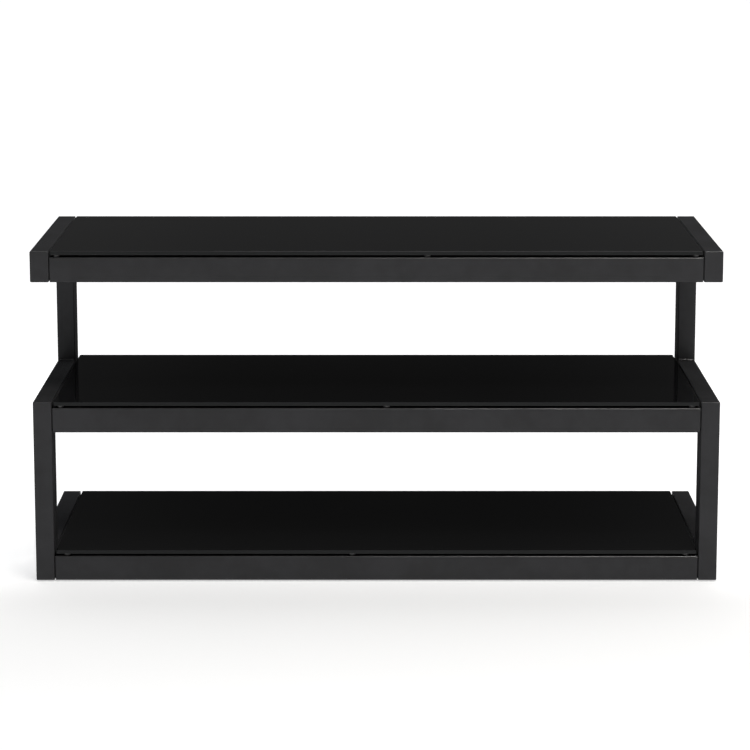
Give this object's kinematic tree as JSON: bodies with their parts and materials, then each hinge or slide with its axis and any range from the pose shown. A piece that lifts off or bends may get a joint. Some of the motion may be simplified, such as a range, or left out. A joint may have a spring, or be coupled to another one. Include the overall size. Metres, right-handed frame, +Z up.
{
  "type": "audio equipment rack",
  "caption": "Low open rack for audio equipment: zig-zag side frames of rectangular steel tube, cross rails and loose black glass shelves lying on silicone pads.",
  "frame": {"origin": "on the floor, under the centre of the rack's box", "axes": "+X to the right seen from the front, along the shelves; +Y from the front to the rear; +Z up"},
  "size_m": [1.1, 0.4, 0.54],
  "materials": {
    "frame_powder_coat": "satin black powder coat, fine orange peel",
    "rail_powder_coat": "satin black powder coat, fine orange peel",
    "black_glass": "opaque black tempered glass, polished, ground edges",
    "silicone_pad": "milky translucent silicone, satin",
    "black_screw_steel": "black oxide steel, oiled",
    "glide_rubber": "matt black rubber"
  },
  "bodies": {
    "frame": {"left_bottom_tube": "frame_powder_coat", "left_front_post": "frame_powder_coat", "left_middle_tube": "frame_powder_coat", "left_rear_post": "frame_powder_coat", "left_top_tube": "frame_powder_coat", "left_bottom_tube_end_plate": "frame_powder_coat", "left_top_tube_end_plate": "frame_powder_coat", "right_bottom_tube": "frame_powder_coat", "right_front_post": "frame_powder_coat", "right_middle_tube": "frame_powder_coat", "right_rear_post": "frame_powder_coat", "right_top_tube": "frame_powder_coat", "right_bottom_tube_end_plate": "frame_powder_coat", "right_top_tube_end_plate": "frame_powder_coat", "bottom_front_rail": "rail_powder_coat", "bottom_rear_rail": "rail_powder_coat", "middle_front_rail": "rail_powder_coat", "middle_rear_rail": "rail_powder_coat", "top_front_rail": "rail_powder_coat", "top_rear_rail": "rail_powder_coat", "bottom_front_left_pad": "silicone_pad", "bottom_front_centre_pad": "silicone_pad", "bottom_front_right_pad": "silicone_pad", "bottom_rear_left_pad": "silicone_pad", "bottom_rear_centre_pad": "silicone_pad", "bottom_rear_right_pad": "silicone_pad", "middle_front_left_pad": "silicone_pad", "middle_front_centre_pad": "silicone_pad", "middle_front_right_pad": "silicone_pad", "middle_rear_left_pad": "silicone_pad", "middle_rear_centre_pad": "silicone_pad", "middle_rear_right_pad": "silicone_pad", "top_front_left_pad": "silicone_pad", "top_front_centre_pad": "silicone_pad", "top_front_right_pad": "silicone_pad", "top_rear_left_pad": "silicone_pad", "top_rear_centre_pad": "silicone_pad", "top_rear_right_pad": "silicone_pad", "left_bottom_front_screw": "black_screw_steel", "left_bottom_rear_screw": "black_screw_steel", "left_middle_front_screw": "black_screw_steel", "left_middle_rear_screw": "black_screw_steel", "left_top_front_screw": "black_screw_steel", "left_top_rear_screw": "black_screw_steel", "right_bottom_front_screw": "black_screw_steel", "right_bottom_rear_screw": "black_screw_steel", "right_middle_front_screw": "black_screw_steel", "right_middle_rear_screw": "black_screw_steel", "right_top_front_screw": "black_screw_steel", "right_top_rear_screw": "black_screw_steel", "left_front_glide": "glide_rubber", "left_rear_glide": "glide_rubber", "right_front_glide": "glide_rubber", "right_rear_glide": "glide_rubber"},
    "bottom_shelf": {"bottom_glass_shelf": "black_glass"},
    "middle_shelf": {"middle_glass_shelf": "black_glass"},
    "top_shelf": {"top_glass_shelf": "black_glass"}
  },
  "joints": [
    {"name": "bottom_shelf_lift", "type": "slide", "parent": "frame", "child": "bottom_shelf", "axis": [0, 0, 1], "range_m": [0, 0.15]},
    {"name": "middle_shelf_lift", "type": "slide", "parent": "frame", "child": "middle_shelf", "axis": [0, 0, 1], "range_m": [0, 0.15]},
    {"name": "top_shelf_lift", "type": "slide", "parent": "frame", "child": "top_shelf", "axis": [0, 0, 1], "range_m": [0, 0.15]}
  ]
}
